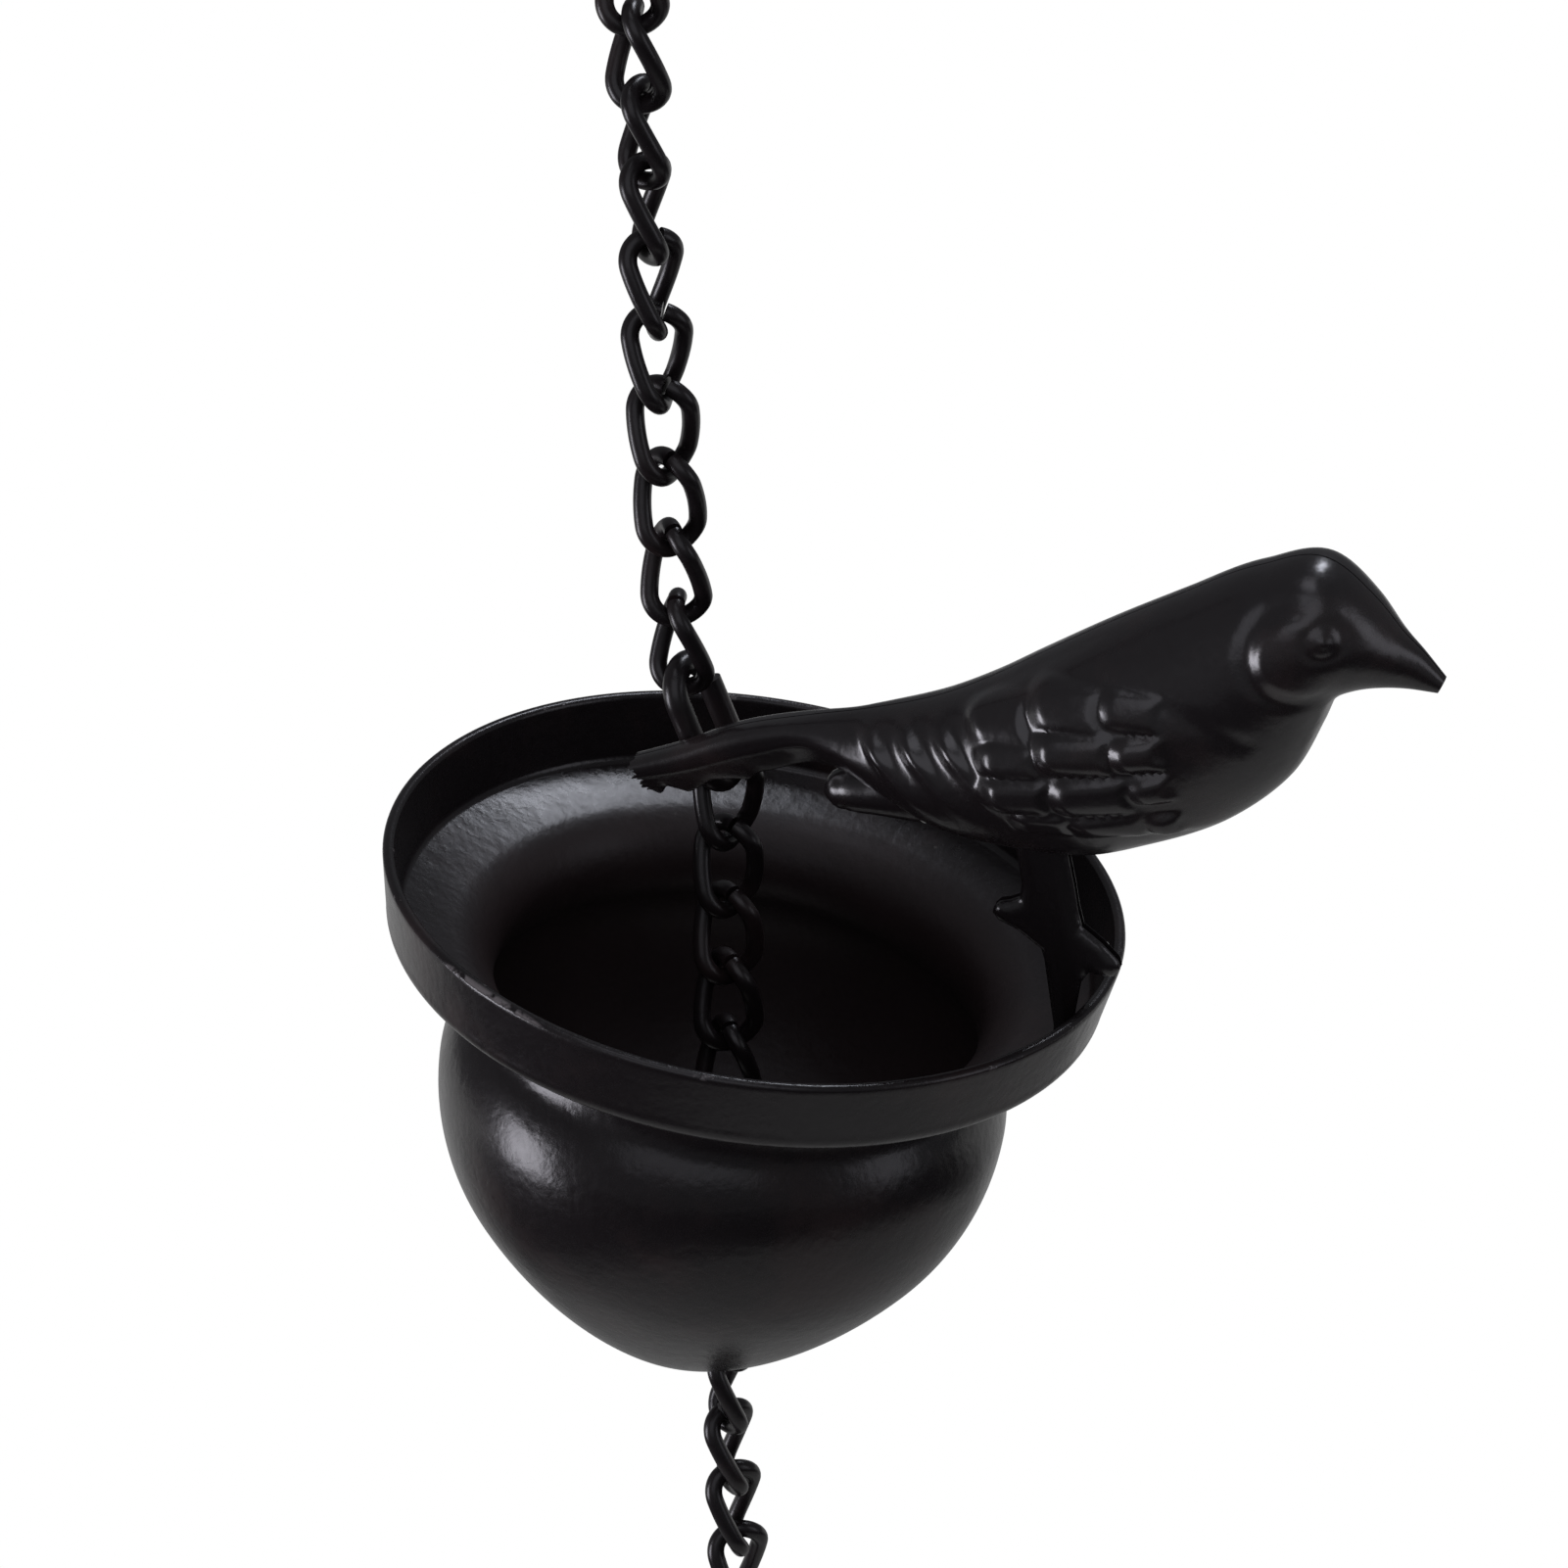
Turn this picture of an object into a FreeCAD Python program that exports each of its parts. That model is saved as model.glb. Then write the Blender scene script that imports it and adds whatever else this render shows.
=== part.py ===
import FreeCAD, Part
import math
import os
import Sketcher

V = FreeCAD.Vector
Turn = FreeCAD.Rotation

# Rain chain: ten twisted links, a cup with a bird perched on its lip, and the
# chain that goes on through the cup. Z is up, X is the way the bird faces, and
# the origin is the top of the eye of the first link, where the chain hangs.

doc = FreeCAD.newDocument("rain_chain")

SIZES = [
    ("wire_dia", 2.2, "wire of the chain links"),
    ("link_pitch", 9.25, "one link to the next, along the chain"),
    ("link_gap", 0.25, "play between two links"),
    ("link_half_width", 3.25, "middle of a link to the centre of its wire"),
    ("link_twist", 90.0, "turn between the two ends of a link, degrees"),
    ("butt_gap", 0.45, "open joint where the two ends of a link's wire meet"),
    ("butt_offset", 1.0, "how far that joint lies from the top of the link"),
    ("first_turn", 118.0, "turn of the first link about the chain, degrees"),
    ("upper_wind", -22.0, "turn from link to link above the cup, degrees"),
    ("lower_start", -12.0, "turn of the first link under the hook, degrees"),
    ("lower_wind", -12.0, "turn from link to link under the hook, degrees"),
    ("hook_dia", 3.0, "wire of the hook"),
    ("hook_eye", 12.2, "inside length of the hook"),
    ("hook_half_width", 3.7, "middle of the hook to the centre of its wire"),
    ("hook_turn", 78.0, "turn of the hook about its own length, degrees"),
    ("hook_tilt", 18.5, "lean of the hook, degrees"),
    ("hook_shift", 0.55, "hook's top, beside the middle of the link that carries it"),
    ("hook_gap", 0.43, "play between the hook and the link that carries it"),
    ("foot_gap", 0.35, "play between the hook and the link that hangs from it"),
    ("hook_wrap", 55.0, "how far the hook's tip goes past its top, degrees"),
    ("hook_mouth", 2.4, "opening between the hook's two ends"),
    ("cup_lean", 11.8, "lean of the cup towards the bird, degrees"),
    ("bird_reach", 48.7, "front of the bird's leg, in front of the hook's top"),
    ("cup_drop", 25.68, "lip's centre, below the hook's top"),
    ("cup_wall", 1.5, "sheet of the cup"),
    ("lip_radius", 45.4, "outside of the lip"),
    ("collar_taper", 1.3, "how much the collar narrows below the lip"),
    ("collar_height", 10.4, "lip to the underside of the collar"),
    ("collar_round", 2.6, "rounding at the foot of the collar"),
    ("shelf_slope", 15.0, "slope of the shelf inside the collar, degrees"),
    ("neck_round", 6.0, "hollow between the collar and the bowl"),
    ("neck_radius", 31.5, "outside of the neck"),
    ("belly_radius", 35.2, "widest place of the bowl"),
    ("belly_depth", 29.7, "lip to the widest place of the bowl"),
    ("bowl_round", 31.0, "curve under the widest place"),
    ("bowl_turn", 34.0, "how far that curve goes, degrees"),
    ("base_round", 70.4, "flatter curve down to the drain hole"),
    ("drain_radius", 13.5, "drain hole"),
    ("drain_x", 5.3, "chain in front of the drain hole's centre"),
    ("drain_y", -0.5, "chain beside the drain hole's centre"),
    ("bird_side", -5.5, "bird's middle plane beside the cup's axis"),
    ("weld_gap", 0.1, "space left for a weld"),
    ("tail_tuck", 0.42, "how far the tail reaches under the bend of the hook"),
    ("bird_sheet", 0.3, "sheet of the bird"),
    ("bird_seam", 0.2, "slit between the bird's two halves"),
    ("bird_length", 91.1, "tail's end to the tip of the bill"),
    ("bird_width", 22.0, "bird's widest place"),
    ("tail_share", 0.22, "tail's half width at the hook, as a share of the bird's"),
    ("leg_slot", 1.0, "space between the two legs"),
]

sheet = doc.addObject("Spreadsheet::Sheet", "sizes")
for row, (alias, value, note) in enumerate(SIZES, start=1):
    sheet.set("A%d" % row, alias)
    sheet.set("B%d" % row, str(value))
    sheet.set("C%d" % row, note)
    sheet.setAlias("B%d" % row, alias)
doc.recompute()


def size(alias):
    return float(sheet.get(alias))


def polar(radius, degrees):
    angle = math.radians(degrees)
    return V(radius * math.cos(angle), radius * math.sin(angle), 0)


def origin_plane(body, role):
    for feature in body.Origin.OriginFeatures:
        if feature.Role == role:
            return feature
    raise ValueError(role)


def add_sketch(body, role, name, offset=None):
    sketch = body.newObject("Sketcher::SketchObject", name)
    sketch.AttachmentSupport = [(origin_plane(body, role), "")]
    sketch.MapMode = "FlatFace"
    if offset is not None:
        sketch.AttachmentOffset = offset
    return sketch


def bind(sketch, constraint, name, formula):
    index = sketch.addConstraint(constraint)
    sketch.renameConstraint(index, name)
    sketch.setExpression("Constraints." + name, formula)


# Chain links: a length of wire bent to an oval and then twisted about its long
# axis, so that each end stands across the other. The wire's ends meet beside
# the top in an open joint.

link_eye = size("link_pitch") + size("link_gap")


def oval_point(along):
    half = size("link_half_width")
    side = link_eye + size("wire_dia") - 2 * half
    top = size("wire_dia") / 2 - half
    quarter = math.pi * half / 2
    if along < quarter:
        angle = along / half
        return half * math.sin(angle), top + half * math.cos(angle)
    along -= quarter
    if along < side:
        return half, top - along
    along -= side
    if along < 2 * quarter:
        angle = along / half
        return half * math.cos(angle), top - side - half * math.sin(angle)
    along -= 2 * quarter
    if along < side:
        return -half, top - side + along
    angle = (along - side) / half
    return -half * math.cos(angle), top + half * math.sin(angle)


def wire_point(along):
    x, z = oval_point(along)
    share = (size("wire_dia") / 2 - z) / (link_eye + size("wire_dia"))
    point = polar(x, size("link_twist") * share)
    point.z = z
    return point


def arc_from(start, tangent, end):
    chord = end - start
    across = chord - tangent * chord.dot(tangent)
    if across.Length < 1e-6:
        return Part.LineSegment(start, end).toShape()
    normal = V(across).normalize()
    half_turn = math.atan2(chord.dot(normal), chord.dot(tangent))
    radius = chord.Length / (2 * math.sin(half_turn))
    middle = start + tangent * (radius * math.sin(half_turn))
    middle = middle + normal * (radius * (1 - math.cos(half_turn)))
    return Part.Arc(start, middle, end).toShape()


def two_arcs(start, tangent, end, end_tangent):
    chord = end - start
    both = tangent + end_tangent
    bend = 2 * (1 - tangent.dot(end_tangent))
    along = chord.dot(both)
    reach = (math.sqrt(along**2 + bend * chord.dot(chord)) - along) / bend
    middle = (start + end + (tangent - end_tangent) * reach) * 0.5
    first = arc_from(start, tangent, middle)
    second = arc_from(end, end_tangent * -1, middle)
    return [first, second]


def link_shape():
    half = size("link_half_width")
    around = 2 * math.pi * half + 2 * (link_eye + size("wire_dia") - 2 * half)
    start = size("butt_offset") + size("butt_gap") / 2
    length = around - size("butt_gap")
    steps = 14
    step = 1e-4
    stops = []
    for n in range(steps + 1):
        along = start + length * n / steps
        point = wire_point(along % around)
        before = wire_point((along - step) % around)
        after = wire_point((along + step) % around)
        stops.append((point, (after - before).normalize()))
    edges = []
    for (p, t), (q, u) in zip(stops, stops[1:]):
        edges += two_arcs(p, t, q, u)
    path = Part.Wire(Part.__sortEdges__(edges))
    circle = Part.Circle(stops[0][0], stops[0][1], size("wire_dia") / 2)
    ring = Part.Wire([circle.toShape()])
    return path.makePipeShell([ring], True, False)


link_solid = link_shape()
links = {}


def add_link(number, top, down, turn):
    link = doc.addObject("Part::Feature", "chain_link_%02d" % number)
    link.Shape = link_solid.copy()
    lie = Turn(V(0, 0, -1), down).multiply(Turn(V(0, 0, 1), turn))
    link.Placement = FreeCAD.Placement(top, lie)
    links[number] = link


UPPER = 10
INSIDE = 10
BELOW = 3

plumb = V(0, 0, -1)
for n in range(UPPER):
    turn = size("first_turn") + size("upper_wind") * n
    add_link(n + 1, plumb * (n * size("link_pitch")), plumb, turn)

# Hook: an open oval of thicker wire. It leans across the bird's tail.

eye_floor = plumb * (UPPER * size("link_pitch") + size("link_gap"))
hook_top = eye_floor + V(size("hook_shift"), 0, size("hook_gap"))
hook_lie = Turn(V(0, 1, 0), -size("hook_tilt")).multiply(Turn(V(0, 0, 1), size("hook_turn")))
hook_place = FreeCAD.Placement(hook_top, hook_lie)

hook = doc.addObject("PartDesign::Body", "tail_hook")
half = size("hook_half_width")
crown = size("hook_dia") / 2 - half
foot = half - size("hook_dia") / 2 - size("hook_eye")
wrap = math.radians(90 - size("hook_wrap"))
tip = V(half * math.cos(wrap), crown + half * math.sin(wrap), 0)
mouth = tip.y - math.sqrt(size("hook_mouth") ** 2 - (half - tip.x) ** 2)

spine = add_sketch(hook, "XZ_Plane", "hook_spine")
spine.addGeometry(Part.LineSegment(V(half, mouth, 0), V(half, foot, 0)))
bend = Part.Circle(V(0, foot, 0), V(0, 0, 1), half)
spine.addGeometry(Part.ArcOfCircle(bend, math.pi, 2 * math.pi))
spine.addGeometry(Part.LineSegment(V(-half, foot, 0), V(-half, crown, 0)))
over = Part.Circle(V(0, crown, 0), V(0, 0, 1), half)
spine.addGeometry(Part.ArcOfCircle(over, wrap, math.pi))
for first, first_end, second, second_end in ((0, 2, 1, 2), (1, 1, 2, 1), (2, 2, 3, 2)):
    spine.addConstraint(Sketcher.Constraint("Coincident", first, first_end, second, second_end))
bind(spine, Sketcher.Constraint("Radius", 1, half), "foot_bend", "sizes.hook_half_width")
bind(spine, Sketcher.Constraint("Radius", 3, half), "top_bend", "sizes.hook_half_width")

section = add_sketch(hook, "XY_Plane", "hook_section", FreeCAD.Placement(V(0, 0, mouth), Turn()))
section.addGeometry(Part.Circle(V(half, 0, 0), V(0, 0, 1), size("hook_dia") / 2))
bind(section, Sketcher.Constraint("Diameter", 0, size("hook_dia")), "wire", "sizes.hook_dia")
doc.recompute()

hook_pipe = hook.newObject("PartDesign::AdditivePipe", "hook_wire")
hook_pipe.Profile = section
hook_pipe.Spine = (spine, ["Edge1", "Edge2", "Edge3", "Edge4"])
hook.Tip = hook_pipe
hook.Placement = hook_place
doc.recompute()

# The hook lies against the far side of the bird's tail, so the hook gives the
# bird's middle plane, and the bird gives the place of the cup under it.

strand = size("hook_half_width") * math.sin(math.radians(size("hook_turn"))) + size("hook_dia") / 2
tail_half = size("tail_share") * size("bird_width") / 2 + size("bird_seam") / 2
bird_plane = -strand - size("weld_gap") - tail_half + size("tail_tuck")

# Cup: one spun sheet. The wall is drawn as a closed section and turned about
# the cup's own axis, with the lip at height zero.

wall = size("cup_wall")
collar_foot = size("lip_radius") - size("collar_taper")
leg_outer = -size("bird_side") + size("leg_slot") / 2 + size("bird_sheet")
perch = math.sqrt((collar_foot - wall) ** 2 - leg_outer**2) - size("weld_gap")
cup_forward = size("bird_reach") - perch * math.cos(math.radians(size("cup_lean")))
lean = Turn(V(0, 1, 0), size("cup_lean"))
cup_side = bird_plane - size("bird_side")
lip_centre = hook_top + V(cup_forward, cup_side, -size("cup_drop"))
unit_place = FreeCAD.Placement(lip_centre, lean)
bird_place = unit_place.multiply(FreeCAD.Placement(V(perch, size("bird_side"), 0), Turn()))

# The collar turns in to a sloping shelf, the shelf bends down into the neck,
# and the neck swells into the bowl. Each curve runs on from the one before.

corner = V(collar_foot - size("collar_round"), size("collar_round") - size("collar_height"), 0)
under_shelf = polar(1, size("shelf_slope") - 90)
shelf_start = corner + under_shelf * size("collar_round")
neck_x = size("neck_radius") + size("neck_round")
shelf_run = shelf_start.x - neck_x + under_shelf.x * size("neck_round")
shelf_fall = shelf_run * math.tan(math.radians(size("shelf_slope")))
neck = V(neck_x, shelf_start.y - shelf_fall + under_shelf.y * size("neck_round"), 0)
rise = size("belly_depth") + neck.y
swell = size("belly_radius") - size("neck_radius")
bulge = 2 * math.degrees(math.atan(swell / rise))
shoulder = rise / math.sin(math.radians(bulge)) - size("neck_round")
shoulder_centre = V(size("belly_radius") - shoulder, -size("belly_depth"), 0)
bowl_centre = V(size("belly_radius") - size("bowl_round"), -size("belly_depth"), 0)
bowl_end = bowl_centre + polar(size("bowl_round"), -size("bowl_turn"))
base_centre = bowl_end - polar(size("base_round"), -size("bowl_turn"))


def base_turn(inset):
    return -math.degrees(math.acos((size("drain_radius") - base_centre.x) / (size("base_round") - inset)))


def wall_line(inset):
    """Corner points, and the centre of the arc that leads to each (None for a line)."""
    foot = corner + V(size("collar_round") - inset, 0, 0)
    return [
        (V(size("lip_radius") - inset, 0, 0), None),
        (foot, None),
        (corner + under_shelf * (size("collar_round") - inset), corner),
        (neck - under_shelf * (size("neck_round") + inset), None),
        (neck + polar(size("neck_round") + inset, 180 + bulge), neck),
        (shoulder_centre + polar(shoulder - inset, 0), shoulder_centre),
        (bowl_centre + polar(size("bowl_round") - inset, -size("bowl_turn")), bowl_centre),
        (base_centre + polar(size("base_round") - inset, base_turn(inset)), base_centre),
    ]


def arc_middle(start, end, centre):
    radius = (start - centre).Length
    half_way = (start + end) * 0.5 - centre
    return centre + half_way.normalize() * radius


cup = doc.addObject("PartDesign::Body", "cup")
cup_section = add_sketch(cup, "XZ_Plane", "cup_section")
outside = wall_line(0.0)
inside = wall_line(wall)
loop = outside + [(point, None) for point, _ in inside[-1:]]
for (point, _), (_, centre) in zip(reversed(inside[:-1]), reversed(inside)):
    loop.append((point, centre))
count = 0
previous = loop[0][0]
for point, centre in loop[1:] + [(loop[0][0], None)]:
    if (point - previous).Length > 1e-6:
        if centre is None:
            cup_section.addGeometry(Part.LineSegment(previous, point))
        else:
            cup_section.addGeometry(Part.Arc(previous, arc_middle(previous, point, centre), point))
        count += 1
        previous = point
bind(cup_section, Sketcher.Constraint("DistanceX", -1, 1, 0, 1, size("lip_radius")), "lip", "sizes.lip_radius")
doc.recompute()
spun = cup.newObject("PartDesign::Revolution", "spun_wall")
spun.Profile = cup_section
spun.ReferenceAxis = (cup_section, ["V_Axis"])
spun.Angle = 360
cup.Tip = spun
cup.Placement = unit_place
doc.recompute()

# Links under the hook: they run straight from the hook to the drain hole and
# hang plumb below it.

hook_foot = hook_place.multVec(V(0, 0, -size("hook_eye") - size("hook_dia") / 2))
drain = unit_place.multVec(V(0, 0, inside[-1][0].y))
through = drain + V(size("drain_x"), size("drain_y"), 0)
run = (through - hook_foot).normalize()
place = hook_foot - run * (size("hook_dia") / 2 + size("foot_gap"))
for n in range(INSIDE + BELOW):
    down = run if n < INSIDE else plumb
    add_link(UPPER + 1 + n, place, down, size("lower_start") + size("lower_wind") * n)
    place = place + down * link_eye - (run if n + 1 < INSIDE else plumb) * size("link_gap")

# Bird: each half is one stamped sheet, a shell with its open side on the bird's
# middle plane and with one leg. Lengths are measured from the front of the leg,
# which stands against the inside of the collar, and heights from the lip.

# Sections across the back from the tail to the bill: place of the middle, slope
# of the back, half height, and half width as a share of the bird's.

STATIONS = [
    (-57.5, 12.6, 33, 2.2, 0.16),
    (-51.1, 16.2, 32, 2.8, 0.19),
    (-44.5, 20.2, 29, 3.3, size("tail_share")),
    (-36.0, 24.2, 27, 3.3, 0.26),
    (-29.2, 24.5, 31, 5.7, 0.45),
    (-23.4, 24.6, 36, 8.2, 0.66),
    (-16.0, 26.5, 40, 10.3, 0.84),
    (-9.3, 29.5, 42, 12.2, 0.95),
    (-3.4, 33.5, 43, 13.1, 1.0),
    (4.2, 39.5, 44, 13.5, 1.0),
    (11.1, 46.5, 43, 12.3, 0.93),
    (16.1, 52.9, 33, 10.0, 0.85),
    (20.1, 56.0, 15, 8.5, 0.76),
    (24.0, 55.2, 0, 5.8, 0.58),
    (27.3, 54.0, -10, 3.7, 0.36),
    (30.3, 53.2, -16, 2.4, 0.2),
    (33.6, 52.3, -16, 0.8, 0.08),
]
grow = size("bird_length") / (STATIONS[-1][0] - STATIONS[0][0])

# The pointed fold under the root of the tail.
FOLD = [
    (-22.8, 22.0, 20, 4.5, 0.4),
    (-28.8, 18.9, 22, 2.4, 0.2),
    (-33.9, 16.9, 22, 0.5, 0.05),
]


def bird_section(name, x, z, slope, tall, wide):
    """An oval in two halves, so that every section starts at the same place."""
    sketch = doc.addObject("Sketcher::SketchObject", name)
    if tall > wide:
        oval = Part.Ellipse(V(0, tall, 0), V(wide, 0, 0), V(0, 0, 0))
        start = -math.pi
    else:
        oval = Part.Ellipse(V(wide, 0, 0), V(0, tall, 0), V(0, 0, 0))
        start = -math.pi / 2
    sketch.addGeometry(Part.ArcOfEllipse(oval, start, start + math.pi))
    sketch.addGeometry(Part.ArcOfEllipse(oval, start + math.pi, start + 2 * math.pi))
    across = V(-math.sin(math.radians(slope)), 0, math.cos(math.radians(slope)))
    forward = V(math.cos(math.radians(slope)), 0, math.sin(math.radians(slope)))
    lie = Turn(V(0, -1, 0), across, forward * -1, "ZXY")
    sketch.Placement = bird_place.multiply(FreeCAD.Placement(V(x, 0, z), lie))
    return sketch


def bird_loft(name, inset, stations):
    sections = []
    for n, (x, z, slope, tall, share) in enumerate(stations):
        wide = share * size("bird_width") / 2 - inset
        high = tall * grow - inset
        sections.append(bird_section("%s_%02d" % (name, n), x * grow, z * grow, slope, high, wide))
    loft = doc.addObject("Part::Loft", name)
    loft.Sections = sections
    loft.Solid = True
    loft.Ruled = False
    return loft


skin = bird_loft("bird_skin", 0.0, STATIONS)
fold = bird_loft("bird_fold", 0.0, FOLD)
tail_x, tail_z, tail_slope = STATIONS[0][:3]
beyond = V(tail_x, tail_z, 0) - polar(2 * size("bird_sheet") / grow, tail_slope)
hollow_stations = [(beyond.x, beyond.y) + STATIONS[0][2:]] + STATIONS[:-2]
hollow = bird_loft("bird_hollow", size("bird_sheet"), hollow_stations)
doc.recompute()

# Leg: a flat sheet with a toe in front of the lip and one behind it.

ledge = wall - size("collar_height") + 2 * size("weld_gap")


def leg_point(x, z):
    return V(x, z, 0) * grow


LEG = [
    (leg_point(-9.3, 21.5), None),
    (leg_point(-9.15, 11.5), None),
    (leg_point(-9.4, 10.5), None),
    (leg_point(-9.6, 6.3), leg_point(-12.1, 8.4)),
    (leg_point(-5.5, 4.7), None),
    (leg_point(-4.9, 3.6), None),
    (leg_point(-2.1, -5.2), None),
    (V(-size("collar_round") * 0.65, ledge, 0), None),
    (V(-size("collar_round") / 2, ledge, 0), None),
    (V(0, corner.y, 0), None),
    (leg_point(0, 1.4), None),
    (leg_point(0.9, 3.3), None),
    (leg_point(3.3, 3.1), None),
    (leg_point(3.0, 7.2), leg_point(4.6, 5.1)),
    (leg_point(-1.7, 9.8), None),
    (leg_point(-2.9, 13.7), None),
    (leg_point(-3.7, 21.5), None),
]
leg_outline = doc.addObject("Sketcher::SketchObject", "leg_outline")
previous = LEG[-1][0]
for point, across in LEG:
    if across is None:
        leg_outline.addGeometry(Part.LineSegment(previous, point))
    else:
        leg_outline.addGeometry(Part.Arc(previous, across, point))
    previous = point
upright = Turn(V(1, 0, 0), V(0, 0, 1), V(0, -1, 0), "ZXY")
leg_start = FreeCAD.Placement(V(0, -size("leg_slot") / 2, 0), upright)
leg_outline.Placement = bird_place.multiply(leg_start)
leg = doc.addObject("Part::Extrusion", "leg")
leg.Base = leg_outline
leg.DirMode = "Normal"
leg.Solid = True
leg.setExpression("LengthFwd", "sizes.bird_sheet")

figure = doc.addObject("Part::MultiFuse", "bird_figure")
figure.Shapes = [skin, fold, leg]
shell = doc.addObject("Part::Cut", "bird_shell")
shell.Base = figure
shell.Tool = hollow
far_side = doc.addObject("Part::Box", "far_side")
far_side.Length = skin.Shape.BoundBox.XLength * 2
far_side.Height = far_side.Length
far_side.setExpression("Width", "sizes.bird_width")
far_middle = unit_place.multVec(V(perch, 0, 0)) - V(far_side.Length.Value, 0, far_side.Height.Value) * 0.5
far_side.Placement = FreeCAD.Placement(V(far_middle.x, bird_plane - size("bird_seam") / 2, far_middle.z), Turn())
right_half = doc.addObject("Part::Cut", "bird_right_half")
right_half.Base = shell
right_half.Tool = far_side
left_half = doc.addObject("Part::Mirroring", "bird_left_half")
left_half.Source = right_half
left_half.Base = V(0, bird_plane, 0)
left_half.Normal = V(0, 1, 0)
doc.recompute()

for item in doc.Objects:
    if "Invalid" in item.State or "Error" in item.State:
        raise ValueError(item.Name)
nodes = list(links.values()) + [hook, cup, right_half, left_half]
for item in nodes:
    item.Label = item.Name
    if item.Shape.isNull() or not item.Shape.isValid() or len(item.Shape.Solids) != 1:
        raise ValueError(item.Name)
os.makedirs("parts", exist_ok=True)
for item in nodes:
    item.Shape.exportStep("parts/%s.step" % item.Label)
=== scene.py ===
# %% The frame
import math

import bpy
import numpy as np
from mathutils import Matrix, Vector
from mathutils.geometry import delaunay_2d_cdt


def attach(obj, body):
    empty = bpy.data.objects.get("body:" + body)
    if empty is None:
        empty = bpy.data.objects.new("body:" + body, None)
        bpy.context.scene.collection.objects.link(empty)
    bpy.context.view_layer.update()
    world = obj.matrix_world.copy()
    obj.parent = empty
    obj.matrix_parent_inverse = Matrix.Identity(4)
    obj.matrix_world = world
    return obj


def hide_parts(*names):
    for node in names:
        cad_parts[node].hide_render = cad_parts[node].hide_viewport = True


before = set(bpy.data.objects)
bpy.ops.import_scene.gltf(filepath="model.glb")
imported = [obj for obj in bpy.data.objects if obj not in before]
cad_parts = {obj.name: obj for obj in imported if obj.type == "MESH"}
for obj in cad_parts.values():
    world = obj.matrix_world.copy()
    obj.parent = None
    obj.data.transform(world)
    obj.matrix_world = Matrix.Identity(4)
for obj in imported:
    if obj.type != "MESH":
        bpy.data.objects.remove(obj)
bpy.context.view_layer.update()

# %% [markdown]
# A rain chain leads water down from a gutter. This stretch of one has a run of
# wire links, a steel cup, and a bird that stands inside the cup's collar. The
# solids are drawn in millimetres and Blender works in metres, so every size of
# a piece is written in millimetres, as on the drawing, and turned into metres
# once, when the finished mesh is put in its place. The cup, the bird and the
# hook are welded into one unit that leans towards the bird. Its own origin is
# the middle of the lip. A piece of it is drawn upright there and leaned
# afterwards, which is easier to read than leaning every number.

# %% Places that the pieces share
MM = 0.001
LIP_CENTRE = Vector((8.107, -1.819, -118.0))
UNIT_LEAN = math.radians(11.8)
PERCH = Vector((42.032, -5.5, 0.0))
HOOK_TOP = Vector((0.55, 0.0, -92.32))
HOOK_TILT = math.radians(-18.5)
HOOK_FACING = math.radians(78.0)

UNIT_PLACE = Matrix.Translation(LIP_CENTRE) @ Matrix.Rotation(UNIT_LEAN, 4, "Y")
BIRD_PLACE = UNIT_PLACE @ Matrix.Translation(PERCH)
HOOK_TURN = Matrix.Rotation(HOOK_TILT, 4, "Y") @ Matrix.Rotation(HOOK_FACING, 4, "Z")
HOOK_PLACE = Matrix.Translation(HOOK_TOP) @ HOOK_TURN


def put(name, mesh, place, body, node):
    """Moves a mesh from its own millimetres to its place and ties it to its body."""
    mesh.transform(Matrix.Scale(MM, 4) @ place)
    mesh.name = name
    piece = bpy.data.objects.new(name, mesh)
    bpy.context.scene.collection.objects.link(piece)
    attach(piece, body)
    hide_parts(node)
    return piece


print("middle of the lip, in millimetres:", tuple(round(v, 2) for v in LIP_CENTRE))

# %% [markdown]
# Node trees, both for shapes and for paint, could be laid out by hand, one
# node and one link at a time. They read better as plain expressions. A small
# class stands for one socket, so that `1 - mask` or `a * b` adds a Math node
# by itself.

# %% Sockets as expressions
class Sock:
    """One output socket, ready for arithmetic."""

    def __init__(self, tree, socket):
        self.tree = tree
        self.socket = socket

    def _math(self, operation, first, second=0.0):
        return self.tree.node("ShaderNodeMath", {"operation": operation}, {0: first, 1: second})

    def __add__(self, other):
        return self._math("ADD", self, other)

    def __radd__(self, other):
        return self._math("ADD", other, self)

    def __sub__(self, other):
        return self._math("SUBTRACT", self, other)

    def __rsub__(self, other):
        return self._math("SUBTRACT", other, self)

    def __mul__(self, other):
        return self._math("MULTIPLY", self, other)

    def __truediv__(self, other):
        return self._math("DIVIDE", self, other)

    def largest(self, other):
        return self._math("MAXIMUM", self, other)

    def sine(self):
        return self._math("SINE", self)

    def cosine(self):
        return self._math("COSINE", self)

    def between(self, low, high):
        return self.tree.node("ShaderNodeClamp", {}, {"Value": self, "Min": low, "Max": high})

    def step(self, low, high):
        """0 below low, 1 above high, and smooth between them."""
        ends = {"Value": self, "From Min": low, "From Max": high}
        return self.tree.node("ShaderNodeMapRange", {"interpolation_type": "SMOOTHSTEP"}, ends)


print("what a socket can do:", [name.strip("_") for name in vars(Sock) if callable(getattr(Sock, name))])

# %% [markdown]
# One method makes every kind of node: it takes the node's type, its settings
# and its inputs, and links an input where it is given a socket. The few nodes
# that come up again and again get a short method of their own.

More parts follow.
